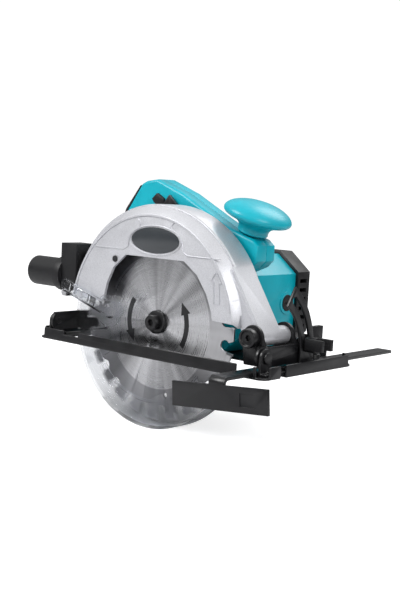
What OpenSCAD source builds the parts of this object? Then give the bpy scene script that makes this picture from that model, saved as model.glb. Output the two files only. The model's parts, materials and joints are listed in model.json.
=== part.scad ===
// Circular saw with a retracting clear lower guard, depth and bevel setting, and a rip fence.
// X is the cutting direction, Y runs from the blade to the motor, Z is up.
// The origin is on the sole, under the spindle, in the blade's middle plane.

/* [Blade] */
// Blade diameter over the tooth tips
blade_d = 185; // [170:1:190]
// Thickness of the blade's steel plate
plate_t = 1.6; // [1.2:0.1:2.2]
// Width of cut of the carbide tips
kerf = 2.4; // [2:0.1:3.2]
// Number of teeth
teeth = 24; // [16:2:40]
// Diameter of the arbor hole
arbor_d = 16; // [12:1:20]
// Height of the spindle above the sole at full depth
spindle_h = 30; // [29:0.5:34]

/* [Base plate] */
// Reach of the base behind the spindle
base_rear = 135; // [130:1:170]
// Reach of the base ahead of the spindle
base_front = 147; // [145:1:180]
// Reach of the base from the blade to its near edge
base_near = 28.5; // [24:0.5:45]
// Reach of the base from the blade to its motor side
base_far = 111; // [90:1:150]
// Thickness of the sole
base_t = 2; // [1.5:0.1:2.5]
// Height of the turned-up lips above the sole
lip_h = 9; // [5:0.5:12]

/* [Upper guard] */
// Radius of the guard's rim
guard_r = 110; // [108:0.5:114]
// Radius of the guard's flat face
face_r = 101; // [92:0.5:104]
// Place of the guard's outer face along Y
face_y = -16; // [-20:0.5:-16]
// Wall of the casting
cast_w = 3; // [2.5:0.1:3.5]
// Height of the guard's lower edge above the sole
guard_low = 44; // [40:0.5:48]

/* [Lower guard] */
// Outer radius of the lower guard
lower_r = 99; // [97:0.5:101]
// Wall of the lower guard
lower_w = 2; // [1.6:0.1:2.4]
// Inner radius of the band beside the teeth
band_r = 73; // [66:0.5:80]

/* [Drive] */
// Gear module
gear_m = 1.2; // [1.1:0.05:1.25]
// Teeth of the spindle gear
gear_z = 38; // [36:1:38]
// Teeth of the armature pinion
pinion_z = 9; // [8:1:10]
// Width of the gear
gear_w = 10; // [8:0.5:10]
// Diameter of the armature core
core_d = 40; // [34:1:44]
// Radial clearance of shafts in their bearings
run_fit = 0.05; // [0.02:0.01:0.1]

/* [Motor housing] */
// Half width of the facetted housing
house_r = 46; // [44:0.5:48]
// Wall of the housing
house_w = 3; // [2.5:0.1:4]
// Where the housing starts along Y
house_y0 = 42; // [42:0.5:44]
// Where the housing meets the end cover
house_y1 = 125; // [120:1:135]
// Length of the end cover
cover_l = 27; // [24:1:34]

/* [Handle] */
// Middle plane of the handle along Y
grip_y = 42; // [42:0.5:46]
// Width of the handle
grip_w = 28; // [24:1:28]
// Wall of the handle's shells
grip_wall = 2.6; // [2:0.1:3.2]
// Diameter of the front knob
knob_d = 65; // [55:1:70]

/* [Settings] */
// Distance of the depth pivot ahead of the spindle
pivot_x = 120; // [120:0.5:122]
// Height of the depth pivot above the sole
pivot_h = 32; // [31:0.5:34]
// Greatest turn of the depth setting
depth_max = 31; // [20:1:32]
// Place of the bevel axis along Y
bevel_y = -13; // [-14:0.5:-12]
// Height of the bevel axis above the sole
bevel_h = 17; // [16:0.5:19]
// Radius of the bevel slot about its axis
bevel_r = 60; // [56:0.5:62]
// Length of the rip fence's bar
fence_l = 262; // [200:1:300]

/* [Hidden] */
$fn = 64;

teal = [0.02, 0.70, 0.78];
silver = [0.80, 0.80, 0.83];
black = [0.08, 0.08, 0.09];
steel = [0.62, 0.62, 0.64];
clear = [0.85, 0.88, 0.92, 0.4];
eps = 0.1;

sheet = 2.5;
blade_r = blade_d / 2;
base_top = base_t;
lip_top = base_t + lip_h;
slot_y0 = -15;
slot_y1 = 39;
slot_rear = 117;
slot_front = 106;

// Lower guard walls along Y, with the blade between them
lower_near = -11;
lower_far = 9.4;
hub_ir = 21.2;
hub_or = 28;
guard_front_a = -34;
guard_sweep = 154;

// Drive layout
shaft_r = 4;
gear_pr = gear_m * gear_z / 2;
pinion_pr = gear_m * pinion_z / 2;
centre_d = gear_pr + pinion_pr;
motor_x = centre_d * cos(45);
motor_h = spindle_h + centre_d * sin(45);
gear_y0 = 25.5;
nose_y0 = 6.8;
nose_r = 21;
case_y0 = 21;
case_y1 = 37;
plate_y1 = 40;
bearing_r = 16;
bearing_y0 = 8;
bearing_y1 = 18;
motor_bearing_r = 11;
bush_r = 7;
case_gap = 0.8;
case_r = gear_pr + gear_m + case_gap + 2;
case_motor_r = 19;

// Bevel and depth settings
upright_x = pivot_x + 15;
bracket_x = upright_x - 1 - sheet;
clamp_a = 7;
guide_r = 170;
guide_y0 = 22.5;
guide_t = 3;
lock_a = 5;
lock_y = 29;
rear_x = -base_rear + 10;
boss_r = 8.2;
boss_y0 = -8.5;
boss_y1 = 33.5;

// Rip fence
fence_x = pivot_x + 6;
fence_w = 16;
fence_t = 3;
fence_y1 = 203;
fence_z0 = base_top + 0.3;

// Places and sizes shared by several pieces
nozzle_y = 5;
nozzle_z = 63;
nozzle_half = 13;
nozzle_screw_at = [-119, nozzle_z - 17];
lock_x = pivot_x - guide_r * cos(lock_a);
lock_z = pivot_h + guide_r * sin(lock_a);
// Bevel clamp's bolt at rest
clamp_y = bevel_y + bevel_r * cos(clamp_a);
clamp_z = bevel_h + bevel_r * sin(clamp_a);
// Rubber stop beside the window's upper corner, by X and Z
stop_at = [-44, 86];
// Screws that hold the guard to the gear case, by X and Z
guard_screw_at = [[-17, 51.5], [17, spindle_h + 18.5 + 25], [-6, 68]];
// Ends of the lower guard's lever, by X and Z
lever_root = [-45, 37];
lever_tip = [-112, 57];
rear_bearing_y = house_y1 + 9;
// Radius of the round bottom of a gullet
gullet_r = 5;
// Length and thickness of a carbide tip
tip_l = 6.5;
tip_w = 1.7;
tooth_phase = 4;
brush_y = 112;
// Place of the cord's way in, on the housing's rear flank
cord_y = 78;
// Outline of the handle in X and Z
grip_outer = [[-56, 158], [-50, 161], [-36, 163], [-3, 151], [41, 129], [58, 121], [84, 113], [90, 108],
    [90, 94], [84, 88], [66, 80], [44.5, 96.4], [14, 96.4], [16, 103],
    [-40, 128], [-52, 125], [-64, 106], [-60, 86],
    [-26.6, 70], [-26.6, 52], [-60, 58], [-80, 74], [-86, 98], [-74, 132]];
// Middle of the trigger and slope of the grip
trigger_at = [-6, 118.5];
trigger_a = atan2(25, -56);
handle_screw_at = [[-70, 100], [-50, 145], [20, 122], [70, 100], [-44, 68]];
knob_at = [72, 116.6];
knob_tilt = 17;

// ---- helpers ----

// Cylinder along Y
module ycyl(x, z, y0, y1, r) {
    translate([x, y0, z]) rotate([-90, 0, 0]) cylinder(h = y1 - y0, r = r);
}

// Cylinder along X
module xcyl(y, z, x0, x1, r) {
    translate([x0, y, z]) rotate([0, 90, 0]) cylinder(h = x1 - x0, r = r);
}

// Cylinder along Z
module zcyl(x, y, z0, z1, r) {
    translate([x, y, z0]) cylinder(h = z1 - z0, r = r);
}

// A flat shape in X and Z, given a thickness along Y
module yprism(y0, y1) {
    translate([0, y1, 0]) rotate([90, 0, 0]) linear_extrude(y1 - y0) children();
}

// A flat shape in Y and Z, given a thickness along X
module xprism(x0, x1) {
    translate([x0, 0, 0]) rotate([90, 0, 90]) linear_extrude(x1 - x0) children();
}

module box(x0, x1, y0, y1, z0, z1) {
    translate([x0, y0, z0]) cube([x1 - x0, y1 - y0, z1 - z0]);
}

// A profile of radius and Y, turned about a Y axis through x and z
module turned(x, z, a0 = 0, a = 360) {
    translate([x, 0, z]) rotate([-90, 0, 0]) rotate([0, 0, a0]) rotate_extrude(angle = a) children();
}

module ring(x, z, y0, y1, ri, ro) {
    difference() {
        ycyl(x, z, y0, y1, ro);
        ycyl(x, z, y0 - eps, y1 + eps, ri);
    }
}

module at_spindle() {
    translate([0, 0, spindle_h]) children();
}

// A sector of a circle from angle a0 to a1, out to radius r
module sector(r, a0, a1) {
    n = ceil((a1 - a0) / 30);
    rr = r / cos((a1 - a0) / n / 2);
    polygon(concat([[0, 0]], [for (i = [0 : n]) let (a = a0 + (a1 - a0) * i / n) [rr * cos(a), rr * sin(a)]]));
}

// An arc-shaped slot with round ends about the origin
module arc_slot(r, w, a0, a1) {
    intersection() {
        difference() {
            circle(r + w / 2, $fn = 128);
            circle(r - w / 2, $fn = 128);
        }
        sector(r + w, a0, a1);
    }
    for (a = [a0, a1]) translate([r * cos(a), r * sin(a)]) circle(w / 2);
}

// ---- base ----

module rounded_sheet(x0, x1, y0, y1, z0, z1, r) {
    box(x0 + r, x1 - r, y0, y1, z0, z1);
    box(x0, x1, y0 + r, y1 - r, z0, z1);
    for (x = [x0 + r, x1 - r], y = [y0 + r, y1 - r]) zcyl(x, y, z0, z1, r);
}

module base_plate() {
    corner = 9;
    gap = fence_w + 2;
    color(black) difference() {
        union() {
            rounded_sheet(-base_rear, base_front, -base_near, base_far, 0, base_top, corner);
            box(corner - base_rear, base_front - corner, -base_near, base_t - base_near, 0, lip_top);
            box(corner - base_rear, base_front - corner, base_far - base_t, base_far, 0, lip_top);
            box(base_front - base_t, base_front, corner - base_near, base_far - corner, 0, lip_top);
            box(-base_rear, base_t - base_rear, corner - base_near, base_far - corner, 0, lip_top);
        }
        box(-slot_rear, slot_front, slot_y0, slot_y1, -eps, base_top + eps);
        // Gaps in both side lips for the fence bar
        box(fence_x - gap / 2, fence_x + gap / 2, -base_near - eps, base_far + eps, base_top, lip_top + eps);
        // The far lip stops short of the motor housing
        box(motor_x - house_r - 8, motor_x + house_r + 10, base_far - base_t - eps, base_far + eps,
            base_top, lip_top + eps);
        // Dip in the near lip at the line of cut
        box(-98, -78, -base_near - eps, eps + base_t - base_near, lip_top - 4, lip_top + eps);
        // Sight notch in the front edge
        box(base_front - 6, base_front + eps, -4, 4, -eps, lip_top + eps);
    }
}

module bevel_quadrant() {
    half = 10;
    foot = 9;
    color(black) difference() {
        union() {
            xprism(upright_x, upright_x + sheet) union() {
                translate([bevel_y, bevel_h]) intersection() {
                    difference() {
                        circle(bevel_r + half, $fn = 128);
                        circle(bevel_r - half, $fn = 128);
                    }
                    sector(bevel_r + half + 1, 0, 58);
                }
                translate([bevel_y, bevel_h]) circle(8);
                translate([bevel_y - 8, base_top]) square([16, bevel_h - base_top]);
                translate([bevel_y - 8, base_top]) square([bevel_r + half + 8, 5]);
                translate([bevel_y + bevel_r - half, base_top]) square([2 * half, bevel_h - base_top + eps]);
            }
            box(upright_x, upright_x + foot, bevel_y - 8, bevel_y + bevel_r + half, base_top, base_top + sheet);
        }
        xprism(upright_x - eps, upright_x + sheet + eps) translate([bevel_y, bevel_h])
            arc_slot(bevel_r, 6.6, clamp_a, clamp_a + 45);
        xcyl(bevel_y, bevel_h, upright_x - eps, upright_x + sheet + eps, 3 + run_fit);
        // Way for the fence bar's screw
        box(upright_x + sheet, upright_x + foot + eps, 10, 26, base_top - eps, base_top + sheet + eps);
    }
}

module rear_lug() {
    color(black) difference() {
        union() {
            xprism(rear_x - sheet, rear_x) union() {
                translate([bevel_y, bevel_h]) circle(8);
                translate([bevel_y - 8, base_top]) square([16, bevel_h - base_top]);
            }
            box(rear_x - sheet - 5, rear_x, bevel_y - 8, bevel_y + 14, base_top, base_top + sheet);
        }
        xcyl(bevel_y, bevel_h, rear_x - sheet - eps, rear_x + eps, 3 + run_fit);
    }
}

// Dome head of a rivet, standing on height z
module rivet_head(x, y, z, r) {
    translate([x, y, z]) intersection() {
        sphere(r);
        translate([-r, -r, 0]) cube([2 * r, 2 * r, r]);
    }
}

module base_rivets() {
    top = base_top + sheet;
    color(black) {
        for (y = [bevel_y - 3, 36, 50]) rivet_head(upright_x + 6, y, top, 2);
        rivet_head(rear_x - 5, bevel_y + 11, top, 2);
    }
}

module fence_saddle() {
    h = fence_z0 + fence_t + 0.4;
    x0 = fence_x - fence_w / 2 - 0.4;
    x1 = fence_x + fence_w / 2 + 0.4;
    y0 = 66;
    y1 = 84;
    color(black) difference() {
        union() {
            box(x0 - 2, x1 + 2, y0, y1, base_top, h + 2);
            box(x0 - 8, x1 + 6, y0, y1, base_top, base_top + 2);
            zcyl(fence_x, (y0 + y1) / 2, h, h + 6, 6);
        }
        box(x0, x1, y0 - eps, y1 + eps, base_top - eps, h);
        zcyl(fence_x, (y0 + y1) / 2, h - eps, h + 6 + eps, 3 + run_fit);
    }
}

module rip_fence() {
    y0 = fence_y1 - fence_l;
    drop = 21;
    plate_l = 100;
    plate_front = 52;
    color(black) {
        difference() {
            box(fence_x - fence_w / 2, fence_x + fence_w / 2, y0, fence_y1, fence_z0, fence_z0 + fence_t);
            for (y = [20 : 10 : 190]) box(fence_x - 7, fence_x - 4, y - 0.4, y + 0.4,
                fence_z0 + fence_t - 0.4, fence_z0 + fence_t + eps);
        }
        // Rolled end that turns the bar down into the guide plate
        difference() {
            xcyl(y0, fence_z0 - 3, fence_x - fence_w / 2, fence_x + fence_w / 2, 6);
            xcyl(y0, fence_z0 - 3, fence_x - 20, fence_x + 20, 3);
            box(fence_x - 20, fence_x + 20, y0, y0 + 8, fence_z0 - 12, fence_z0);
        }
        translate([fence_x, y0 - 6, fence_z0 - 3]) rotate([0, -5, 0]) difference() {
            translate([plate_front - plate_l, 0, -drop - 1]) cube([plate_l, fence_t, drop]);
            translate([plate_front - 28, -eps, -17]) cube([15, 1, 11]);
        }
        box(fence_x - fence_w / 2, fence_x + fence_w / 2, y0 - 6, y0 - 3, fence_z0 - 12, fence_z0 - 3);
    }
}

module fence_screw() {
    y = 75;
    z0 = fence_z0 + fence_t + 0.1;
    color(black) {
        zcyl(fence_x, y, z0 + 14, z0 + 20, 7);
        box(fence_x - 2.5, fence_x + 2.5, y - 9, y + 9, z0 + 19, z0 + 32);
    }
    color(steel) zcyl(fence_x, y, z0, z0 + 14, 3);
}

// ---- frame that tilts on the base ----

module front_bracket() {
    ear = 11;
    ears = [[boss_y0 - 0.4 - sheet, boss_y0 - 0.4], [boss_y1 + 0.4, boss_y1 + 0.4 + sheet]];
    wall_low = 8;
    far = bevel_y + bevel_r * cos(clamp_a) + 9;
    color(black) difference() {
        union() {
            for (e = ears) yprism(e[0], e[1]) union() {
                translate([pivot_x, pivot_h]) circle(ear);
                polygon([[pivot_x - ear, pivot_h], [pivot_x - 8, wall_low], [bracket_x + sheet, wall_low],
                    [bracket_x + sheet, 26], [pivot_x + 8, pivot_h + 7]]);
            }
            xprism(bracket_x, bracket_x + sheet) union() {
                translate([bevel_y - 6, wall_low]) square([far - bevel_y + 2, 17]);
                translate([bevel_y, bevel_h]) circle(9);
                translate([bevel_y + bevel_r * cos(clamp_a), bevel_h + bevel_r * sin(clamp_a)]) circle(9);
            }
        }
        for (e = ears) ycyl(pivot_x, pivot_h, e[0] - eps, e[1] + eps, shaft_r + run_fit);
        xcyl(bevel_y, bevel_h, bracket_x - eps, bracket_x + sheet + eps, 3 + run_fit);
        xcyl(bevel_y + bevel_r * cos(clamp_a), bevel_h + bevel_r * sin(clamp_a),
            bracket_x - eps, bracket_x + sheet + eps, 3 + run_fit);
    }
}

module bevel_pins() {
    color(steel) {
        xcyl(bevel_y, bevel_h, upright_x + sheet, upright_x + sheet + 2.2, 5);
        xcyl(bevel_y, bevel_h, rear_x - sheet - 2.2, rear_x - sheet, 5);
        for (x = [[bracket_x, upright_x + sheet], [rear_x - sheet, rear_x + 1 + sheet]]) {
            xcyl(bevel_y, bevel_h, x[0], x[1], 3);
        }
    }
}

// Rear bracket and curved, slotted depth guide in one pressing
module depth_guide() {
    x0 = rear_x + 1;
    top = 26;
    arm_end = pivot_x - guide_r + 12;
    color(black) difference() {
        union() {
            xprism(x0, x0 + sheet) union() {
                translate([bevel_y, bevel_h]) circle(9);
                translate([bevel_y - 6, 8]) square([guide_y0 + guide_t - bevel_y + 6, top - 8]);
            }
            box(x0, arm_end, guide_y0, guide_y0 + guide_t, 8, top);
            yprism(guide_y0, guide_y0 + guide_t) translate([pivot_x, pivot_h]) mirror([1, 0]) intersection() {
                difference() {
                    circle(guide_r + 8, $fn = 192);
                    circle(guide_r - 8, $fn = 192);
                }
                sector(guide_r + 9, -6, lock_a + depth_max + 5);
            }
        }
        yprism(guide_y0 - eps, guide_y0 + guide_t + eps) translate([pivot_x, pivot_h]) mirror([1, 0])
            arc_slot(guide_r, 6.6, lock_a, lock_a + depth_max);
        xcyl(bevel_y, bevel_h, x0 - eps, x0 + sheet + eps, 3 + run_fit);
    }
}

module pivot_bolt() {
    head_y = boss_y0 - 0.4 - sheet;
    color(black) difference() {
        union() {
            ycyl(pivot_x, pivot_h, head_y - 8.5, head_y, 8.5);
            ycyl(pivot_x, pivot_h, head_y, boss_y1 + 8.5, shaft_r);
        }
        ycyl(pivot_x, pivot_h, head_y - 9, head_y - 6.5, 6.5);
        ycyl(pivot_x, pivot_h, head_y - 9, head_y - 3, 3, $fn = 6);
    }
}

module pivot_nut() {
    y0 = boss_y1 + 0.4 + sheet;
    color(black) difference() {
        translate([pivot_x, y0, pivot_h]) rotate([-90, 0, 0]) cylinder(h = 6, r = 7.5, $fn = 6);
        ycyl(pivot_x, pivot_h, y0 - eps, y0 + 6 + eps, shaft_r + run_fit);
    }
}

module bevel_bolt() {
    color(steel) {
        xcyl(clamp_y, clamp_z, bracket_x - 3, bracket_x, 6);
        xcyl(clamp_y, clamp_z, bracket_x, upright_x + sheet + 14, 3);
    }
}

module bevel_wing() {
    x0 = upright_x + sheet + 0.3;
    color(black) difference() {
        union() {
            xcyl(clamp_y, clamp_z, x0, x0 + 11, 7);
            box(x0 + 3, x0 + 21, clamp_y + 5.2, clamp_y + 9, clamp_z - 4, clamp_z + 6);
            box(x0 + 3, x0 + 21, clamp_y - 9, clamp_y - 5.2, clamp_z - 4, clamp_z + 6);
            box(x0 + 9, x0 + 12, clamp_y - 9, clamp_y + 9, clamp_z - 4, clamp_z + 4);
        }
        xcyl(clamp_y, clamp_z, x0 - eps, x0 + 22, 3 + run_fit);
    }
}

// ---- guards ----

// Outline of the upper guard in X and Z, with its arm to the depth pivot
module guard_outline() {
    ta = 33.2;
    intersection() {
        translate([0, spindle_h]) circle(guard_r, $fn = 192);
        translate([-guard_r - 5, guard_low]) square([2 * guard_r + 10, guard_r + 20]);
    }
    difference() {
        polygon([
            [guard_r * cos(ta), spindle_h + guard_r * sin(ta)],
            [pivot_x + boss_r * cos(ta), pivot_h + boss_r * sin(ta)],
            [pivot_x, pivot_h - boss_r],
            [pivot_x - 6, pivot_h - 5],
            [lower_r + 2, guard_low - 3],
            [78, guard_low - 2],
            [78, guard_low + 10]]);
        translate([pivot_x, pivot_h]) circle(boss_r - 1);
    }
}

module guard_window() {
    polygon([[-57, guard_low + 5], [-54, 62], [-46, 78], [-31, 91], [42, 91], [58, 80], [70, 64], [77, 48],
        [77, guard_low - 3], [60, guard_low - 12], [-57, guard_low - 12]]);
}

module upper_guard() {
    inner_r = guard_r - cast_w;
    y_far = case_y0;
    color(silver) difference() {
        union() {
            intersection() {
                turned(0, spindle_h, $fn = 128) polygon([[0, face_y], [face_r, face_y], [guard_r, face_y + 12],
                    [guard_r, y_far], [0, y_far]]);
                yprism(face_y - 1, y_far + 1) guard_outline();
            }
            // Arm that reaches the depth pivot, outside the sweep of the lower guard
            yprism(boss_y0, 20) guard_outline_arm();
            ycyl(pivot_x, pivot_h, boss_y0, boss_y1, boss_r);
            // Seat around the gear case's nose
            ycyl(0, spindle_h, y_far - cast_w, y_far, case_r);
            ycyl(lock_x, lock_z, y_far - cast_w, y_far, 10);
        }
        // Hollow that the blade and the lower guard turn in
        turned(0, spindle_h, $fn = 128) polygon([[0, face_y + cast_w], [face_r - 1, face_y + cast_w],
            [inner_r, face_y + 13], [inner_r, y_far - cast_w], [0, y_far - cast_w]]);
        yprism(face_y - 1, face_y + cast_w + 1) guard_window();
        ycyl(0, spindle_h, y_far - cast_w - 1, y_far + 1, nose_r + run_fit);
        ycyl(pivot_x, pivot_h, boss_y0 - 1, boss_y1 + 1, shaft_r + run_fit);
        ycyl(lock_x, lock_z, y_far - 5, y_far + 1, 3 + run_fit);
        // Dust way out of the rim
        box(-guard_r - 5, -inner_r + 14, -4, 14, 56, 88);
        // Clearance for the bracket's near ear
        box(pivot_x - 16, pivot_x + 20, face_y - 1, boss_y0, 0, pivot_h + 17);
        for (p = guard_screw_at) ycyl(p[0], p[1], y_far - cast_w - 1, y_far + 1, 2 + run_fit);
        ycyl(stop_at[0], stop_at[1], face_y - 1, face_y + cast_w + 1, 3 + run_fit);
    }
}

module guard_outline_arm() {
    ta = 33.2;
    difference() {
        polygon([
            [guard_r * cos(ta), spindle_h + guard_r * sin(ta)],
            [pivot_x + boss_r * cos(ta), pivot_h + boss_r * sin(ta)],
            [pivot_x, pivot_h - boss_r],
            [pivot_x - 6, pivot_h - 5],
            [lower_r + 3, guard_low - 6],
            [lower_r + 3, guard_low + 6],
            [guard_r * cos(25) - 4, spindle_h + guard_r * sin(25)]]);
        translate([0, spindle_h]) circle(guard_r - cast_w, $fn = 192);
    }
}

module guard_badge() {
    color(black) yprism(face_y - 0.6, face_y - 0.02)
        translate([6, 107]) polygon([for (i = [0 : 47]) [29.5 * cos(i * 7.5), 12 * sin(i * 7.5)]]);
}

module stop_rubber() {
    color(black) ycyl(stop_at[0], stop_at[1], face_y - 1, face_y + cast_w, 3);
}

module guard_screws() {
    color(steel) for (p = guard_screw_at) {
        ycyl(p[0], p[1], case_y0 - cast_w - 2.5, case_y0 - cast_w, 3.5);
        ycyl(p[0], p[1], case_y0 - cast_w, case_y0 + 2.5, 2);
    }
}

// Sector of the lower guard from r0 to r1 and y0 to y1
module guard_arc(r0, r1, y0, y1, a0, a1) {
    turned(0, spindle_h, -a1, a1 - a0, $fn = 160) translate([r0, y0]) square([r1 - r0, y1 - y0]);
}

module lower_guard() {
    a_back = guard_front_a - guard_sweep;
    color(clear) difference() {
        union() {
            guard_arc(lower_r - 2.5, lower_r, lower_near, lower_far, a_back, guard_front_a);
            guard_arc(band_r, lower_r, lower_near, lower_near + lower_w, a_back, guard_front_a);
            guard_arc(band_r - 1, band_r + 1.5, lower_near - 1.2, lower_near, -150, guard_front_a);
            guard_arc(hub_or - 2, lower_r, lower_far - lower_w, lower_far, a_back, guard_front_a);
            ring(0, spindle_h, lower_far - lower_w, 12, hub_ir, hub_or);
            // Wider near wall at the rear, up to a straight edge
            intersection() {
                guard_arc(40, lower_r - 1, lower_near, lower_near + lower_w, a_back + 1, -146);
                box(-lower_r, -38, lower_near - 5, 0, -lower_r, 60);
            }
            // Skid at the front end
            at_spindle() rotate([0, -guard_front_a - 3, 0])
                translate([lower_r - 4, lower_near, -5]) cube([18, lower_far - lower_near, 5]);
            // Lever that the user lifts the guard by
            lower_lever();
        }
        ycyl(0, spindle_h, lower_far - lower_w - 1, 14, hub_ir);
    }
}

module lower_lever() {
    y0 = face_y - 5;
    y1 = face_y - 2;
    dx = lever_tip[0] - lever_root[0];
    dz = lever_tip[1] - lever_root[1];
    reach = sqrt(dx * dx + dz * dz);
    slope = atan2(dz, dx);
    ycyl(lever_root[0], lever_root[1], y0, lower_near + lower_w, 8);
    yprism(y0, y1) translate(lever_root) rotate(slope) union() {
        translate([0, -6]) square([reach - 6, 12]);
        translate([reach - 6, 0]) circle(6);
    }
    for (s = [-1, 1]) yprism(y0 - 2, y0) translate(lever_root) rotate(slope)
        translate([8, s * 5 - 1]) square([reach - 14, 2]);
    for (i = [2 : 6]) yprism(y0 - 2, y0) translate(lever_root) rotate(slope)
        translate([i * 9, -5]) square([1.5, 10]);
    // Round shield beside the root
    yprism(y0, y0 + 2) translate(lever_root) intersection() {
        circle(16);
        translate([-12, -16]) square([28, 30]);
    }
}

module guard_retainer() {
    color(steel) ring(0, spindle_h, 5.2, nose_y0, 13, 24);
}

module guard_spring() {
    r0 = nose_r + 0.6;
    wire = 1.1;
    y0 = 12.3;
    color(steel) turned(0, spindle_h) polygon(concat(
        [for (i = [0 : 4]) each [[r0 + 0.3, y0 + i * wire], [r0, y0 + (i + 0.5) * wire]]],
        [[r0 + 0.3, y0 + 5 * wire]],
        [for (i = [4 : -1 : 0]) each [[r0 + wire + 0.3, y0 + (i + 0.5) * wire], [r0 + wire, y0 + i * wire]]]));
}

module dust_nozzle() {
    y = nozzle_y;
    z = nozzle_z;
    x1 = -guard_r - 0.3;
    color(black) difference() {
        union() {
            box(-128, x1 + 4, y - nozzle_half, y + nozzle_half, z - 15, z + 32);
            xcyl(y, z, -176, -127, 15);
            xcyl(y, z, -137, -127, 17.5);
            ycyl(nozzle_screw_at[0], nozzle_screw_at[1], y - nozzle_half, y + nozzle_half, 4);
        }
        xcyl(y, z, -177, -128, 12.5);
        box(-130, 0, y - 9, y + 9, z - 7, z + 25);
        ycyl(0, spindle_h, y - 20, y + 20, guard_r + 0.3, $fn = 192);
        ycyl(nozzle_screw_at[0], nozzle_screw_at[1], y - 14, y + 14, 2 + run_fit);
    }
}

module nozzle_screw() {
    near = nozzle_y - nozzle_half;
    color(steel) {
        ycyl(nozzle_screw_at[0], nozzle_screw_at[1], near - 3, near, 3.6);
        ycyl(nozzle_screw_at[0], nozzle_screw_at[1], near, near + 24, 2);
    }
}

module depth_lock_bolt() {
    color(steel) {
        ycyl(lock_x, lock_z, case_y0 - cast_w - 2.5, case_y0 - cast_w, 6);
        ycyl(lock_x, lock_z, case_y0 - cast_w, guide_y0 + guide_t + 12, 3);
    }
}

module depth_lever() {
    x = lock_x;
    z = lock_z;
    y0 = guide_y0 + guide_t + 0.3;
    color(black) difference() {
        union() {
            ycyl(x, z, y0, y0 + 10, 8);
            box(x - 42, x, y0 + 3, y0 + 9, z - 4.5, z + 4.5);
            ycyl(x - 42, z, y0 + 3, y0 + 9, 4.5);
        }
        ycyl(x, z, y0 - eps, y0 + 11, 3 + run_fit);
    }
}

// ---- gear case and spindle ----

module case_outline() {
    translate([0, spindle_h]) circle(case_r);
    translate([motor_x, motor_h]) circle(case_motor_r);
    translate([0, spindle_h]) rotate(45) translate([0, -15]) square([centre_d, 33]);
}

module gear_housing() {
    color(silver) difference() {
        union() {
            yprism(case_y0, case_y1) case_outline();
            ycyl(0, spindle_h, nose_y0, case_y0, nose_r);
            xcyl(lock_y, spindle_h, 22, 37, 7.6);
            for (p = guard_screw_at) ycyl(p[0], p[1], case_y0, case_y0 + 4, 5);
        }
        ycyl(0, spindle_h, case_y0 + cast_w, case_y1 + eps, gear_pr + gear_m + case_gap);
        ycyl(motor_x, motor_h, case_y0 + cast_w, case_y1 + eps, pinion_pr + gear_m + case_gap);
        ycyl(0, spindle_h, bearing_y0, bearing_y1, bearing_r + run_fit);
        ycyl(0, spindle_h, nose_y0 - eps, case_y0 + 4, 13);
        xcyl(lock_y, spindle_h, 20, 32, 2 + run_fit);
        xcyl(lock_y, spindle_h, 31, 38, 6);
        for (p = guard_screw_at) ycyl(p[0], p[1], case_y0 - 1, case_y0 + 3, 2 + run_fit);
    }
}

module gear_cover() {
    color(silver) difference() {
        union() {
            yprism(case_y1, plate_y1) case_outline();
            ycyl(0, spindle_h, plate_y1, 46, 10);
            ycyl(motor_x, motor_h, plate_y1, 47, 14);
        }
        ycyl(0, spindle_h, case_y1 - eps, 47, shaft_r + 1);
        ycyl(0, spindle_h, 38, 45, bush_r + run_fit);
        ycyl(motor_x, motor_h, case_y1 - eps, 48, shaft_r + 1.5);
        ycyl(motor_x, motor_h, 39.5, 46.5, motor_bearing_r + run_fit);
    }
}

// Ball bearing as rings with balls between them
module bearing(x, z, y0, y1, ri, ro) {
    rim = (ro - ri) * 0.28;
    mid = (ri + ro) / 2;
    color(steel) {
        ring(x, z, y0, y1, ri + run_fit / 2, ri + rim);
        ring(x, z, y0, y1, ro - rim, ro - run_fit / 2);
        ring(x, z, (y0 + y1) / 2 - 0.8, (y0 + y1) / 2 + 0.8, ri + rim, ro - rim);
    }
}

module spindle_bearing() {
    bearing(0, spindle_h, bearing_y0, bearing_y1, 6, bearing_r);
}

module spindle_bush() {
    color("peru") ring(0, spindle_h, 38, 45, shaft_r + run_fit, bush_r);
}

module motor_bearings() {
    bearing(motor_x, motor_h, 39.5, 46.5, shaft_r, motor_bearing_r);
    bearing(motor_x, motor_h, rear_bearing_y, rear_bearing_y + 7, shaft_r, motor_bearing_r);
}

module spindle() {
    color(steel) difference() {
        union() {
            ycyl(0, spindle_h, -0.6, bearing_y0, arbor_d / 2);
            ycyl(0, spindle_h, bearing_y0, case_y1 - 0.2, 6);
            ycyl(0, spindle_h, case_y1 - 0.2, 45, shaft_r);
        }
        ycyl(0, spindle_h, -1, 20, 4);
    }
}

// Flank points of an involute tooth, from the base circle to the tip
function inv_pt(rb, t) = [rb * (cos(t) + t * PI / 180 * sin(t)), rb * (sin(t) - t * PI / 180 * cos(t))];
function spin(p, a) = [p[0] * cos(a) - p[1] * sin(a), p[0] * sin(a) + p[1] * cos(a)];
function flip(p) = [p[0], -p[1]];

// Spur gear outline with involute flanks and backlash
module gear_outline(z, m, phase) {
    pr = z * m / 2;
    rb = pr * cos(20);
    ro = pr + m;
    rr = pr - 1.25 * m;
    t_out = sqrt(ro * ro / (rb * rb) - 1) * 180 / PI;
    t_pitch = sqrt(pr * pr / (rb * rb) - 1) * 180 / PI;
    a_pitch = atan2(inv_pt(rb, t_pitch)[1], inv_pt(rb, t_pitch)[0]);
    half = 90 / z - 3.2 / pr;
    right = [for (i = [0 : 4]) spin(inv_pt(rb, t_out * i / 4), -half - a_pitch)];
    left = [for (i = [4 : -1 : 0]) flip(right[i])];
    root_a = atan2(right[0][1], right[0][0]);
    foot = [rr * cos(root_a), rr * sin(root_a)];
    tooth = concat([foot], right, left, [flip(foot)]);
    polygon([for (k = [0 : z - 1]) each [for (p = tooth) spin(p, phase + k * 360 / z)]]);
}

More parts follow.
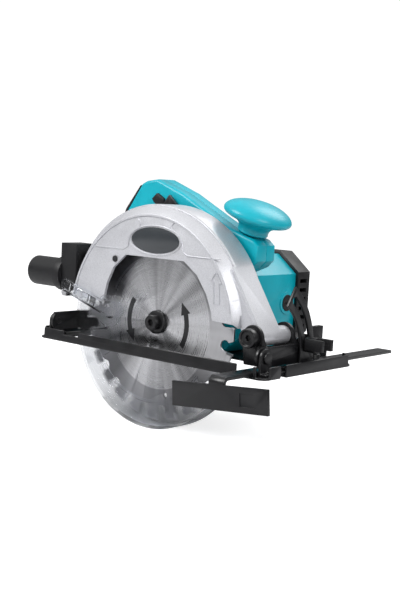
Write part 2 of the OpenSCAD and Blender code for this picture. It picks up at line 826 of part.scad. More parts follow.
module spindle_gear() {
    color(steel) difference() {
        translate([0, gear_y0 + gear_w, spindle_h]) rotate([90, 0, 0]) linear_extrude(gear_w)
            gear_outline(gear_z, gear_m, 45);
        ycyl(0, spindle_h, gear_y0 - 1, gear_y0 + gear_w + 1, 6 + run_fit);
    }
}

module armature_shaft() {
    phase = 225 + 180 / pinion_z;
    color(steel) {
        translate([motor_x, gear_y0 + gear_w, motor_h]) rotate([90, 0, 0]) linear_extrude(gear_w)
            gear_outline(pinion_z, gear_m, phase);
        ycyl(motor_x, motor_h, gear_y0 + gear_w, rear_bearing_y + 9, shaft_r);
    }
}

module inner_flange() {
    color(steel) difference() {
        union() {
            ycyl(0, spindle_h, plate_t / 2, 4.8, 19);
            ycyl(0, spindle_h, 4.8, 7.9, 10);
        }
        ycyl(0, spindle_h, 0, 9, arbor_d / 2 + run_fit);
    }
}

module outer_flange() {
    color(black) ring(0, spindle_h, -plate_t / 2 - 3, -plate_t / 2, shaft_r + run_fit, 11);
}

module blade_bolt() {
    y1 = -plate_t / 2 - 3;
    color(black) difference() {
        union() {
            ycyl(0, spindle_h, y1 - 7, y1, 7);
            ycyl(0, spindle_h, y1, 18, shaft_r - run_fit);
        }
        translate([0, y1 - 8, spindle_h]) rotate([-90, 0, 0]) cylinder(h = 5, r = 3.5, $fn = 6);
    }
}

// The gullet ahead of a tooth, with the seat of its tip, as a flat shape
module gullet() {
    root = blade_r - tip_l - gullet_r + 1.5;
    translate([root, gullet_r]) circle(gullet_r, $fn = 24);
    polygon([[root, 0], [blade_r + 3, 0], [blade_r + 3, gullet_r + 9], [root + 3.5, 2 * gullet_r - 1.4]]);
    translate([blade_r - tip_l, -tip_w]) square([tip_l + 3, tip_w + 0.1]);
}

module saw_blade() {
    color(steel) difference() {
        ycyl(0, spindle_h, -plate_t / 2, plate_t / 2, blade_r - 1);
        yprism(-kerf, kerf) translate([0, spindle_h]) for (k = [0 : teeth - 1])
            rotate(k * 360 / teeth + tooth_phase) gullet();
        ycyl(0, spindle_h, -kerf, kerf, arbor_d / 2 + run_fit);
        for (k = [0 : 3]) yprism(-kerf, kerf) translate([0, spindle_h]) rotate(k * 90 + tooth_phase + 8) {
            translate([blade_r - 24, 0]) circle(2.2, $fn = 24);
            translate([blade_r - 24, -0.6]) square([16, 1.2]);
        }
    }
}

module carbide_tips() {
    color("gainsboro") for (k = [0 : teeth - 1]) at_spindle()
        rotate([0, -k * 360 / teeth - tooth_phase, 0]) translate([blade_r - tip_l, -kerf / 2, -tip_w])
            cube([tip_l, kerf, tip_w]);
}

// ---- motor ----

// Facetted outline of the housing about the motor axis
module house_outline(d) {
    a = house_r + d;
    b = house_r * 0.61 + d * 0.6;
    c = house_r * 0.52 + d * 0.6;
    translate([motor_x, motor_h])
        polygon([[a, b], [c, a], [-c, a], [-a, b], [-a, -b], [-c, -a], [c, -a], [a, -b]]);
}

module motor_housing() {
    color(teal) difference() {
        union() {
            difference() {
                yprism(house_y0, house_y1) house_outline(0);
                yprism(house_y0 + house_w, house_y1 + eps) house_outline(-house_w);
                ycyl(motor_x, motor_h, house_y0 - eps, house_y0 + house_w + eps, 14 + run_fit);
                ycyl(0, spindle_h, house_y0 - eps, house_y0 + house_w + eps, 10 + run_fit);
            }
            // Webs that hold the stator
            for (y = [67, 94]) difference() {
                yprism(y, y + 4) house_outline(-house_w + 0.1);
                ycyl(motor_x, motor_h, y - 1, y + 5, 37.1);
            }
            xcyl(cord_y, 62, motor_x - house_r - 9, motor_x - house_r + 0.5, 9);
            for (s = [-1, 1]) xcyl(brush_y, motor_h, motor_x + s * house_r - 1, motor_x + s * house_r + 1, 11);
        }
        xcyl(cord_y, 62, motor_x - house_r - 10, motor_x - house_r + house_w + 1, 4.5);
        for (s = [-1, 1]) xcyl(brush_y, motor_h, motor_x + s * house_r - 4, motor_x + s * house_r + 4, 8.1);
    }
}

module stator() {
    color(steel) difference() {
        ring(motor_x, motor_h, 66, 99, core_d / 2 + 0.8, 37);
        for (s = [-1, 1]) ycyl(motor_x, motor_h + s * 20, 65, 100, 9);
    }
}

module field_coils() {
    color("peru") for (y = [[62.5, 66], [99, 103]]) ring(motor_x, motor_h, y[0], y[1], 23, 33);
}

module armature_core() {
    slots = 12;
    color("dimgray") difference() {
        ring(motor_x, motor_h, 66, 99, shaft_r + run_fit / 2, core_d / 2);
        for (k = [0 : slots - 1]) translate([motor_x, 0, motor_h]) rotate([0, k * 360 / slots, 0])
            translate([core_d / 2 - 5, 65, -0.8]) cube([6, 35, 1.6]);
    }
}

module commutator() {
    color("peru") ring(motor_x, motor_h, 104, 119, shaft_r + run_fit / 2, 12);
}

module cooling_fan() {
    blades = 11;
    color(black) {
        ring(motor_x, motor_h, 51, 60, shaft_r + run_fit / 2, 8);
        ring(motor_x, motor_h, 51, 53, 7, 35);
        for (k = [0 : blades - 1]) translate([motor_x, 0, motor_h]) rotate([0, k * 360 / blades, 0])
            translate([15, 52.5, -0.9]) cube([19, 7.5, 1.8]);
    }
}

module brush_holders() {
    color("goldenrod") for (s = [-1, 1]) translate([motor_x, brush_y, motor_h]) scale([s, 1, 1]) difference() {
        translate([14.5, -5.5, -6]) cube([house_r - house_w - 16, 11, 12]);
        translate([13, -3.6, -4.1]) cube([house_r, 7.2, 8.2]);
    }
}

module carbon_brushes() {
    color("dimgray") for (s = [-1, 1]) translate([motor_x, brush_y, motor_h]) scale([s, 1, 1])
        translate([12.3, -3.5, -4]) cube([16, 7, 8]);
}

module brush_caps() {
    color(black) for (s = [-1, 1]) translate([motor_x, brush_y, motor_h]) scale([s, 1, 1]) difference() {
        xcyl(0, 0, house_r - 3.9, house_r + 1.5, 8);
        translate([house_r, -5, -0.8]) cube([4, 10, 1.6]);
    }
}

module end_cover() {
    y0 = house_y1;
    y1 = house_y1 + cover_l;
    color(black) difference() {
        union() {
            difference() {
                union() {
                    yprism(y0, y1 - 7) house_outline(3);
                    yprism(y1 - 7, y1) house_outline(-3);
                }
                yprism(y0 - eps, y1 - 9) house_outline(-house_w + 1);
            }
            ycyl(motor_x, motor_h, rear_bearing_y, y1 - 8, motor_bearing_r + 3);
        }
        ycyl(motor_x, motor_h, rear_bearing_y - eps, rear_bearing_y + 7, motor_bearing_r + run_fit);
        ycyl(motor_x, motor_h, rear_bearing_y, rear_bearing_y + 11, shaft_r + 3);
        for (s = [-1, 1], t = [-1, 1]) {
            ycyl(motor_x + s * 31, motor_h + t * 31, y1 - 7, y1 + eps, 3.5);
            ycyl(motor_x + s * 31, motor_h + t * 31, y1 - 10, y1, 2 + run_fit);
        }
        // Air slots in the end wall and the front flank
        for (i = [-3 : 3]) box(motor_x - 24, motor_x + 24, y1 - 6, y1 + eps,
            motor_h + i * 9 - 2, motor_h + i * 9 + 2);
        for (i = [-3 : 2]) box(motor_x + house_r - 6, motor_x + house_r + 5, y0 + 4, y1 - 12,
            motor_h + i * 9 + 1, motor_h + i * 9 + 5);
    }
}

module cover_screws() {
    y1 = house_y1 + cover_l;
    color(steel) for (s = [-1, 1], t = [-1, 1]) {
        ycyl(motor_x + s * 31, motor_h + t * 31, y1 - 7, y1 - 4.5, 3.4);
        ycyl(motor_x + s * 31, motor_h + t * 31, house_y1 + 18, y1 - 7, 2);
    }
}

// ---- handle ----

module grip_outline(d) {
    offset(delta = -d) polygon(grip_outer);
}

// Places in the handle given along the grip (back and down) and across it
module along_grip() {
    translate(trigger_at) rotate(trigger_a) children();
}

module handle_shell(s) {
    y_out = grip_y + s * grip_w / 2;
    y_in = grip_y + s * 0.05;
    y_cav = y_out - s * grip_wall;
    color(teal) difference() {
        union() {
            yprism(min(y_in, y_out), max(y_in, y_out)) grip_outline(0.1);
            if (s < 0) pill();
        }
        yprism(min(y_in - s, y_cav), max(y_in - s, y_cav)) grip_outline(0.1 + grip_wall);
        yprism(grip_y - 6.6, grip_y + 6.6) along_grip() translate([-9, -4]) square([48, 16]);
        if (s < 0) yprism(y_out - 1, y_out + 5) button_outline(0.25);
        for (p = handle_screw_at) ycyl(p[0], p[1], grip_y - grip_w, grip_y + grip_w, 1.8);
        translate([knob_at[0], grip_y, knob_at[1]]) rotate([0, knob_tilt, 0]) translate([0, 0, -10])
            cylinder(h = 20, r = 4);
    }
}

// Rounded boss at the front of the handle's root
module pill() {
    for (z = [94, 108]) translate([86, grip_y - grip_w / 2, z]) sphere(4.5);
    zcyl(86, grip_y - grip_w / 2, 94, 108, 4.5);
}

module button_outline(d) {
    translate([-31, 143]) rotate(-28) offset(delta = d)
        polygon([[-8, -3], [-5, 5], [5, 5], [8, 1], [5, -5], [-4, -5]]);
}

module handle_near() { handle_shell(-1); }
module handle_far() { handle_shell(1); }

module handle_screws() {
    color(steel) for (p = handle_screw_at) {
        ycyl(p[0], p[1], grip_y + grip_w / 2, grip_y + grip_w / 2 + 2, 3);
        ycyl(p[0], p[1], grip_y - grip_w / 2 + 4, grip_y + grip_w / 2, 1.7);
    }
}

module rear_grip() {
    outer = [[-59, 156], [-77, 132.5], [-89.5, 98], [-83, 72.5]];
    inner = [[-80.5, 75], [-86.1, 98], [-74.2, 131.8], [-56.6, 157]];
    color(black) yprism(grip_y - grip_w / 2 + 1, grip_y + grip_w / 2 - 1) polygon(concat(outer, inner));
}

module switch_body() {
    color(black) yprism(grip_y - 6, grip_y + 6) along_grip() translate([2, -26]) square([30, 12]);
}

module trigger() {
    color(black) difference() {
        yprism(grip_y - 6, grip_y + 6) along_grip() polygon([[-6, -2], [-6, -9], [2, -11], [30, -8], [36, -5],
            [37, 5], [31, 11], [8, 8], [-2, 3]]);
        yprism(grip_y - 7, grip_y + 7) along_grip() translate([0, -6]) circle(1.6);
    }
}

module lock_button() {
    y_out = grip_y - grip_w / 2;
    color(black) yprism(y_out - 2.5, y_out + 4) button_outline(0);
}

module spindle_lock() {
    color(black) {
        xcyl(lock_y, spindle_h, 34, 43, 5.6);
        xcyl(lock_y, spindle_h, gear_pr + gear_m + 3.2, 34, 2);
    }
}

module front_knob() {
    kr = knob_d / 2;
    color(teal) translate([knob_at[0], grip_y, knob_at[1]]) rotate([0, knob_tilt, 0]) difference() {
        rotate_extrude($fn = 96) union() {
            polygon([[0, 1], [15, 1], [13, 5], [14, 10], [0, 12]]);
            intersection() {
                translate([0, 19]) scale([kr / 10, 1.25]) circle(10, $fn = 96);
                translate([0, 6]) square([kr + 1, 30]);
            }
        }
        cylinder(h = 16, r = 4);
    }
}

module knob_bolt() {
    color(steel) translate([knob_at[0], grip_y, knob_at[1]]) rotate([0, knob_tilt, 0])
        translate([0, 0, -9]) cylinder(h = 24.8, r = 3.9);
}

base_plate();
bevel_quadrant();
rear_lug();
base_rivets();
fence_saddle();
rip_fence();
fence_screw();
front_bracket();
bevel_pins();
depth_guide();
pivot_bolt();
pivot_nut();
bevel_bolt();
bevel_wing();
upper_guard();
guard_badge();
guard_screws();
stop_rubber();
gear_housing();
gear_cover();
spindle_bearing();
spindle_bush();
motor_housing();
stator();
field_coils();
end_cover();
cover_screws();
motor_bearings();
brush_holders();
carbon_brushes();
brush_caps();
handle_near();
handle_far();
handle_screws();
rear_grip();
switch_body();
front_knob();
knob_bolt();
dust_nozzle();
nozzle_screw();
guard_spring();
guard_retainer();
depth_lock_bolt();
depth_lever();
lower_guard();
spindle();
spindle_gear();
inner_flange();
saw_blade();
carbide_tips();
outer_flange();
blade_bolt();
armature_shaft();
armature_core();
commutator();
cooling_fan();
trigger();
lock_button();
spindle_lock();
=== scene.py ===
"""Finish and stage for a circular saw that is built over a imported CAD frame."""

import json
import math

import bpy
from mathutils import Matrix, Vector


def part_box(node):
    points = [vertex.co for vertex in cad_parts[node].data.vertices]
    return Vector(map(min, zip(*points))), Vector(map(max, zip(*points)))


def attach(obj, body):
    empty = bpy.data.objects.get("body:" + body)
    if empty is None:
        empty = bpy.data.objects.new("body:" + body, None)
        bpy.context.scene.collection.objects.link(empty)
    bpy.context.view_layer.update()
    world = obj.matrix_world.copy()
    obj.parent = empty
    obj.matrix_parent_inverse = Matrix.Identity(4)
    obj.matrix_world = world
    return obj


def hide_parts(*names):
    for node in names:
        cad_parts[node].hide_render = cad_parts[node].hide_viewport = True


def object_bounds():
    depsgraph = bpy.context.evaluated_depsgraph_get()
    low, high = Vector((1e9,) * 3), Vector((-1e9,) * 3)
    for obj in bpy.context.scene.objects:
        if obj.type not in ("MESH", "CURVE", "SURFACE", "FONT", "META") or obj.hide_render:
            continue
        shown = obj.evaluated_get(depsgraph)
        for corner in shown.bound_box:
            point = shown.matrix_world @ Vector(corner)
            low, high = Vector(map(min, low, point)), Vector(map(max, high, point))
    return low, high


bl_info = {
    "name": "Circular saw finish",
    "version": (1, 0, 0),
    "blender": (4, 5, 0),
    "location": "View3D > Sidebar > Saw",
    "description": "Models the visible pieces of a circular saw over its CAD frame and lights it",
    "category": "Object",
}

MM = 0.001
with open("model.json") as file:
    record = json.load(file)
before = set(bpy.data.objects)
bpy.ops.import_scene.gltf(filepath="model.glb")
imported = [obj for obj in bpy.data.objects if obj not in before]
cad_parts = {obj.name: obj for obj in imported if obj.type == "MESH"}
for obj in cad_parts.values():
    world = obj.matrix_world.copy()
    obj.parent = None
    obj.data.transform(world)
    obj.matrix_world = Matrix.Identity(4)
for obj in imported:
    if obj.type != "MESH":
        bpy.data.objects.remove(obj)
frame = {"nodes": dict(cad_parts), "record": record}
CAD_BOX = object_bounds()

SMOOTH_ANGLE = math.radians(40)    # edges flatter than this are shaded smooth


# ---------------------------------------------------------------- settings

class SawColours(bpy.types.PropertyGroup):
    """Colours of the saw's finishes"""

    housing: bpy.props.FloatVectorProperty(
        name="Housing", description="Moulded housing, handle and knob", subtype="COLOR",
        size=3, min=0.0, max=1.0, default=(0.0, 0.38, 0.47))
    casting: bpy.props.FloatVectorProperty(
        name="Casting", description="Silver paint on the guard casting", subtype="COLOR",
        size=3, min=0.0, max=1.0, default=(0.62, 0.625, 0.655))
    steel_black: bpy.props.FloatVectorProperty(
        name="Black steel", description="Powder-coated base, brackets and fence", subtype="COLOR",
        size=3, min=0.0, max=1.0, default=(0.007, 0.007, 0.008))
    plastic_black: bpy.props.FloatVectorProperty(
        name="Black plastic", description="Dust nozzle, end cover and levers", subtype="COLOR",
        size=3, min=0.0, max=1.0, default=(0.006, 0.006, 0.007))
    blade: bpy.props.FloatVectorProperty(
        name="Blade", description="Ground steel of the blade", subtype="COLOR",
        size=3, min=0.0, max=1.0, default=(0.74, 0.74, 0.75))
    blade_band: bpy.props.FloatVectorProperty(
        name="Blade band", description="Darker matt band below the teeth", subtype="COLOR",
        size=3, min=0.0, max=1.0, default=(0.50, 0.50, 0.51))
    badge: bpy.props.FloatVectorProperty(
        name="Badge", description="Bare oval badge on the guard", subtype="COLOR",
        size=3, min=0.0, max=1.0, default=(0.035, 0.040, 0.045))
    clear: bpy.props.FloatVectorProperty(
        name="Clear guard", description="Tint of the clear lower guard", subtype="COLOR",
        size=3, min=0.0, max=1.0, default=(0.93, 0.95, 0.98))


class SawSizes(bpy.types.PropertyGroup):
    """Sizes of the finish"""

    cast_edge: bpy.props.FloatProperty(
        name="Casting edge", description="Radius of the casting's edges", unit="LENGTH",
        default=1.1 * MM, min=0.0, max=3 * MM)
    sheet_edge: bpy.props.FloatProperty(
        name="Sheet edge", description="Radius of pressed steel edges", unit="LENGTH",
        default=0.6 * MM, min=0.0, max=2 * MM)
    mould_edge: bpy.props.FloatProperty(
        name="Moulded edge", description="Radius of the housing's facets", unit="LENGTH",
        default=3.0 * MM, min=0.0, max=8 * MM)
    grip_edge: bpy.props.FloatProperty(
        name="Grip edge", description="Radius of the handle's outer edges", unit="LENGTH",
        default=8.0 * MM, min=2 * MM, max=12 * MM)
    knob_width: bpy.props.FloatProperty(
        name="Knob width", description="Diameter of the front knob's cap", unit="LENGTH",
        default=64.6 * MM, min=40 * MM, max=70 * MM)
    seam: bpy.props.FloatProperty(
        name="Seam", description="Half the gap between the handle's halves", unit="LENGTH",
        default=0.12 * MM, min=0.0, max=1 * MM)


def colours():
    return bpy.context.scene.saw_colours


def sizes():
    return bpy.context.scene.saw_sizes


def spindle_height():
    """Height of the spindle's axis, in metres."""
    low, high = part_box("saw_blade")
    return (low[2] + high[2]) / 2


# ---------------------------------------------------------------- materials

def new_material(name):
    """An empty node material with its shader and Object coordinates."""
    name = "finish_" + name
    found = bpy.data.materials.get(name)
    if found:
        return found, None, None, None
    mat = bpy.data.materials.new(name)
    mat.use_nodes = True
    nodes = mat.node_tree.nodes
    shader = nodes["Principled BSDF"]
    place = nodes.new("ShaderNodeTexCoord")
    return mat, mat.node_tree, shader, place.outputs["Object"]


GRAIN_GROUP = "finish_grain"
GRAIN_SPAN = (0.3, 0.7)            # the part of the noise's range that the group spreads out


def grain_group():
    """Noise that gives a colour, a value and a height: one node group for every finish."""
    found = bpy.data.node_groups.get(GRAIN_GROUP)
    if found:
        return found
    group = bpy.data.node_groups.new(GRAIN_GROUP, "ShaderNodeTree")
    sockets = (
        ("Vector", "INPUT", "NodeSocketVector"), ("Scale", "INPUT", "NodeSocketFloat"),
        ("Detail", "INPUT", "NodeSocketFloat"), ("Roughness", "INPUT", "NodeSocketFloat"),
        ("Dark", "INPUT", "NodeSocketColor"), ("Light", "INPUT", "NodeSocketColor"),
        ("Low", "INPUT", "NodeSocketFloat"), ("High", "INPUT", "NodeSocketFloat"),
        ("Colour", "OUTPUT", "NodeSocketColor"), ("Value", "OUTPUT", "NodeSocketFloat"),
        ("Height", "OUTPUT", "NodeSocketFloat"),
    )
    for name, side, kind in sockets:
        group.interface.new_socket(name=name, in_out=side, socket_type=kind)
    nodes, links = group.nodes, group.links
    given = nodes.new("NodeGroupInput")
    result = nodes.new("NodeGroupOutput")
    noise = nodes.new("ShaderNodeTexNoise")
    for name in ("Vector", "Scale", "Detail", "Roughness"):
        links.new(given.outputs[name], noise.inputs[name])
    links.new(noise.outputs["Fac"], result.inputs["Height"])
    share = nodes.new("ShaderNodeMapRange")
    value = nodes.new("ShaderNodeMapRange")
    for span in (share, value):
        span.inputs["From Min"].default_value = GRAIN_SPAN[0]
        span.inputs["From Max"].default_value = GRAIN_SPAN[1]
        links.new(noise.outputs["Fac"], span.inputs["Value"])
    links.new(given.outputs["Low"], value.inputs["To Min"])
    links.new(given.outputs["High"], value.inputs["To Max"])
    links.new(value.outputs["Result"], result.inputs["Value"])
    tint = nodes.new("ShaderNodeMix")
    tint.data_type = "RGBA"
    links.new(share.outputs["Result"], tint.inputs["Factor"])
    links.new(given.outputs["Dark"], tint.inputs[6])
    links.new(given.outputs["Light"], tint.inputs[7])
    links.new(tint.outputs[2], result.inputs["Colour"])
    return group


def add_grain(tree, place, scale, detail=4.0, rough=0.5, colour=(1.0, 1.0, 1.0), dark=0.92, light=1.05,
              low=0.0, high=1.0):
    """Places the grain group with its own values; dark and light multiply the colour."""
    grain = tree.nodes.new("ShaderNodeGroup")
    grain.node_tree = grain_group()
    tree.links.new(place, grain.inputs["Vector"])
    values = {
        "Scale": scale, "Detail": detail, "Roughness": rough, "Low": low, "High": high,
        "Dark": (*[min(1.0, c * dark) for c in colour], 1.0),
        "Light": (*[min(1.0, c * light) for c in colour], 1.0),
    }
    for name, value in values.items():
        grain.inputs[name].default_value = value
    return grain.outputs


def add_bump(tree, shader, height, strength, distance):
    bump = tree.nodes.new("ShaderNodeBump")
    bump.inputs["Strength"].default_value = strength
    bump.inputs["Distance"].default_value = distance
    tree.links.new(height, bump.inputs["Height"])
    tree.links.new(bump.outputs["Normal"], shader.inputs["Normal"])


def moulded(name, colour, rough_low, rough_high, grain_scale, grain_depth, coat=0.0):
    """Moulded plastic with a fine grain and slight cloudiness."""
    mat, tree, shader, place = new_material(name)
    if tree is None:
        return mat
    cloud = add_grain(tree, place, 45.0, 3.0, colour=colour, low=rough_low, high=rough_high)
    tree.links.new(cloud["Colour"], shader.inputs["Base Color"])
    tree.links.new(cloud["Value"], shader.inputs["Roughness"])
    grain = add_grain(tree, place, grain_scale, 2.0)
    add_bump(tree, shader, grain["Height"], 0.25, grain_depth)
    shader.inputs["Specular IOR Level"].default_value = 0.35
    shader.inputs["Coat Weight"].default_value = coat
    shader.inputs["Coat Roughness"].default_value = 0.25
    return mat


def housing_plastic():
    return moulded("housing_plastic", colours().housing, 0.34, 0.42, 1800.0, 0.00004, 0.15)


def black_plastic():
    return moulded("black_plastic", colours().plastic_black, 0.42, 0.55, 1500.0, 0.00008)


def black_rubber():
    return moulded("black_rubber", (0.02, 0.02, 0.022), 0.65, 0.8, 900.0, 0.00015)


def black_steel():
    """Powder-coated steel with an orange-peel surface."""
    mat, tree, shader, place = new_material("black_steel")
    if tree is None:
        return mat
    cloud = add_grain(tree, place, 60.0, colour=colours().steel_black, dark=0.8, light=1.3,
                      low=0.28, high=0.40)
    tree.links.new(cloud["Colour"], shader.inputs["Base Color"])
    tree.links.new(cloud["Value"], shader.inputs["Roughness"])
    peel = add_grain(tree, place, 700.0, 2.0)
    add_bump(tree, shader, peel["Height"], 0.2, 0.00006)
    shader.inputs["Specular IOR Level"].default_value = 0.45
    return mat


def cast_silver():
    """Silver paint with fine metal flakes over a cast surface."""
    mat, tree, shader, place = new_material("cast_silver")
    if tree is None:
        return mat
    flakes = add_grain(tree, place, 1400.0, 2.0, 0.7, colours().casting, 0.86, 1.12)
    tree.links.new(flakes["Colour"], shader.inputs["Base Color"])
    cloud = add_grain(tree, place, 120.0, low=0.36, high=0.46)
    tree.links.new(cloud["Value"], shader.inputs["Roughness"])
    skin = add_grain(tree, place, 520.0, 3.0)
    add_bump(tree, shader, skin["Height"], 0.18, 0.00008)
    shader.inputs["Metallic"].default_value = 0.55
    return mat


def plain_steel(name="bright_steel", colour=(0.58, 0.58, 0.60), low=0.22, high=0.34):
    """Plated or ground steel with a faint streak."""
    mat, tree, shader, place = new_material(name)
    if tree is None:
        return mat
    streak = add_grain(tree, place, 300.0, 6.0, 0.6, colour, 0.88, 1.08, low, high)
    tree.links.new(streak["Colour"], shader.inputs["Base Color"])
    tree.links.new(streak["Value"], shader.inputs["Roughness"])
    shader.inputs["Metallic"].default_value = 1.0
    return mat


def radius_from_spindle(tree, place):
    """Distance from the spindle's axis and angle about it, in metres and radians."""
    centre = tree.nodes.new("ShaderNodeVectorMath")
    centre.operation = "SUBTRACT"
    centre.inputs[1].default_value = (0.0, 0.0, spindle_height())
    tree.links.new(place, centre.inputs[0])
    split = tree.nodes.new("ShaderNodeSeparateXYZ")
    tree.links.new(centre.outputs["Vector"], split.inputs["Vector"])
    flat = tree.nodes.new("ShaderNodeCombineXYZ")
    tree.links.new(split.outputs["X"], flat.inputs["X"])
    tree.links.new(split.outputs["Z"], flat.inputs["Z"])
    length = tree.nodes.new("ShaderNodeVectorMath")
    length.operation = "LENGTH"
    tree.links.new(flat.outputs["Vector"], length.inputs[0])
    angle = tree.nodes.new("ShaderNodeMath")
    angle.operation = "ARCTAN2"
    tree.links.new(split.outputs["Z"], angle.inputs[0])
    tree.links.new(split.outputs["X"], angle.inputs[1])
    return length.outputs["Value"], angle.outputs["Value"]


# The blade's finish: a matt band between two radii, and brush marks along the radius, in metres
BAND_FROM = 0.063
BAND_TO = 0.0905
BAND_RAMP = 0.1                    # radius at the ramp's end
BRUSH_MARKS = 900.0                # brush marks to the metre


def blade_steel():
    """Ground blade: circular brush marks inside, a darker matt band outside, and sectors of painted
    highlight and painted shade over both.
    """
    mat, tree, shader, place = new_material("blade_steel")
    if tree is None:
        return mat
    radius, angle = radius_from_spindle(tree, place)

    rings = tree.nodes.new("ShaderNodeCombineXYZ")
    stretch = tree.nodes.new("ShaderNodeMath")
    stretch.operation = "MULTIPLY"
    stretch.inputs[1].default_value = BRUSH_MARKS
    tree.links.new(radius, stretch.inputs[0])
    tree.links.new(stretch.outputs["Value"], rings.inputs["X"])
    tree.links.new(angle, rings.inputs["Y"])
    brush = add_grain(tree, rings.outputs["Vector"], 1.0, 5.0, 0.65, colours().blade, 0.93, 1.05,
                      0.22, 0.36)
    matt = add_grain(tree, rings.outputs["Vector"], 1.0, 5.0, 0.65, colours().blade_band, 0.95, 1.05)

    band = tree.nodes.new("ShaderNodeValToRGB")
    band.color_ramp.interpolation = "CONSTANT"
    edges = band.color_ramp.elements
    edges[0].position = 0.0
    edges[0].color = (0.0, 0.0, 0.0, 1.0)
    edges[1].position = BAND_FROM / BAND_RAMP
    edges[1].color = (1.0, 1.0, 1.0, 1.0)
    rim = edges.new(BAND_TO / BAND_RAMP)
    rim.color = (0.35, 0.35, 0.35, 1.0)
    scaled = tree.nodes.new("ShaderNodeMath")
    scaled.operation = "MULTIPLY"
    scaled.inputs[1].default_value = 1 / BAND_RAMP
    tree.links.new(radius, scaled.inputs[0])
    tree.links.new(scaled.outputs["Value"], band.inputs["Fac"])
    mix = tree.nodes.new("ShaderNodeMix")
    mix.data_type = "RGBA"
    tree.links.new(band.outputs["Color"], mix.inputs["Factor"])
    tree.links.new(brush["Colour"], mix.inputs[6])
    tree.links.new(matt["Colour"], mix.inputs[7])

    # Light and dark sectors about the spindle: painted highlight and painted shade in the blade's
    # colour, in place of the ground disc's reflections
    painted_highlight_angle = tree.nodes.new("ShaderNodeCombineXYZ")
    for part, turn in (("X", "COSINE"), ("Z", "SINE")):
        wave = tree.nodes.new("ShaderNodeMath")
        wave.operation = turn
        tree.links.new(angle, wave.inputs[0])
        tree.links.new(wave.outputs["Value"], painted_highlight_angle.inputs[part])
    painted_highlight_sectors = add_grain(tree, painted_highlight_angle.outputs["Vector"], 1.7, 3.0, 0.55, (0.55, 0.55, 0.56), 0.5, 1.75)
    # multiplies the painted highlight and painted shade into the blade's colour
    painted_highlight_mix = tree.nodes.new("ShaderNodeMix")
    painted_highlight_mix.data_type = "RGBA"
    painted_highlight_mix.blend_type = "MULTIPLY"
    painted_highlight_mix.inputs["Factor"].default_value = 1.0
    tree.links.new(mix.outputs[2], painted_highlight_mix.inputs[6])
    tree.links.new(painted_highlight_sectors["Colour"], painted_highlight_mix.inputs[7])
    tree.links.new(painted_highlight_mix.outputs[2], shader.inputs["Base Color"])

    rough = tree.nodes.new("ShaderNodeMath")
    rough.operation = "MULTIPLY_ADD"
    rough.inputs[1].default_value = 0.12
    tree.links.new(band.outputs["Color"], rough.inputs[0])
    tree.links.new(brush["Value"], rough.inputs[2])
    tree.links.new(rough.outputs["Value"], shader.inputs["Roughness"])
    add_bump(tree, shader, brush["Height"], 0.05, 0.00003)
    along = tree.nodes.new("ShaderNodeTangent")
    along.direction_type = "RADIAL"
    along.axis = "Y"
    tree.links.new(along.outputs["Tangent"], shader.inputs["Tangent"])
    shader.inputs["Metallic"].default_value = 1.0
    shader.inputs["Anisotropic"].default_value = 0.85
    return mat


def clear_plastic():
    """Clear polycarbonate with faint scuffs, denser where it is seen edge on."""
    mat, tree, shader, place = new_material("clear_plastic")
    if tree is None:
        return mat
    scuff = add_grain(tree, place, 260.0, 6.0, 0.7, colours().clear, 0.98, 1.0, 0.0, 0.02)
    tree.links.new(scuff["Value"], shader.inputs["Roughness"])
    tree.links.new(scuff["Colour"], shader.inputs["Base Color"])
    shader.inputs["Transmission Weight"].default_value = 1.0
    shader.inputs["IOR"].default_value = 1.13
    edge = tree.nodes.new("ShaderNodeLayerWeight")
    edge.inputs["Blend"].default_value = 0.35
    cover = tree.nodes.new("ShaderNodeMapRange")
    cover.inputs["From Max"].default_value = 0.6
    cover.inputs["To Min"].default_value = 0.17
    tree.links.new(edge.outputs["Facing"], cover.inputs["Value"])
    tree.links.new(cover.outputs["Result"], shader.inputs["Alpha"])
    return mat


def badge_gloss():
    return moulded("badge_gloss", colours().badge, 0.18, 0.24, 300.0, 0.00002, 0.6)


def copper():
    return plain_steel("copper_wire", (0.72, 0.36, 0.20), 0.3, 0.45)


def bronze():
    return plain_steel("sintered_bronze", (0.55, 0.38, 0.16), 0.4, 0.55)


def dark_core():
    return plain_steel("laminated_core", (0.22, 0.22, 0.24), 0.4, 0.55)


# ---------------------------------------------------------------- modelling helpers

def only(piece):
    """Selects one object and makes it the active one."""
    if bpy.context.object and bpy.context.object.mode != "OBJECT":
        bpy.ops.object.mode_set(mode="OBJECT")
    bpy.ops.object.select_all(action="DESELECT")
    piece.select_set(True)
    bpy.context.view_layer.objects.active = piece


def named(name):
    """Names the object just added and returns it."""
    piece = bpy.context.object
    piece.name = name
    piece.data.name = name
    return piece


def settle(piece):
    """Puts the object's place, turn and size into its mesh."""
    only(piece)
    bpy.ops.object.transform_apply(location=True, rotation=True, scale=True)


def outward(piece):
    """Merges doubles and turns the faces outwards."""
    only(piece)
    bpy.ops.object.mode_set(mode="EDIT")
    bpy.ops.mesh.select_all(action="SELECT")
    bpy.ops.mesh.remove_doubles(threshold=0.00001)
    bpy.ops.mesh.normals_make_consistent(inside=False)
    bpy.ops.object.mode_set(mode="OBJECT")


def soften(piece, width, segments=2, angle=32.0):
    """Rounds the sharp edges and smooths the shading."""
    only(piece)
    if width > 0:
        bevel = piece.modifiers.new("edge", "BEVEL")
        bevel.width = width
        bevel.segments = segments
        bevel.limit_method = "ANGLE"
        bevel.angle_limit = math.radians(angle)
        bevel.use_clamp_overlap = True
        bpy.ops.object.modifier_apply(modifier=bevel.name)
    bpy.ops.object.shade_smooth_by_angle(angle=SMOOTH_ANGLE)


def finish_piece(piece, body, slot, material, *nodes):
    """Gives a piece its material and body, and hides the CAD nodes that it stands for; slot is not used.
    """
    piece.data.materials.clear()
    piece.data.materials.append(material)
    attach(piece, body)
    if nodes:
        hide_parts(*nodes)
    return piece


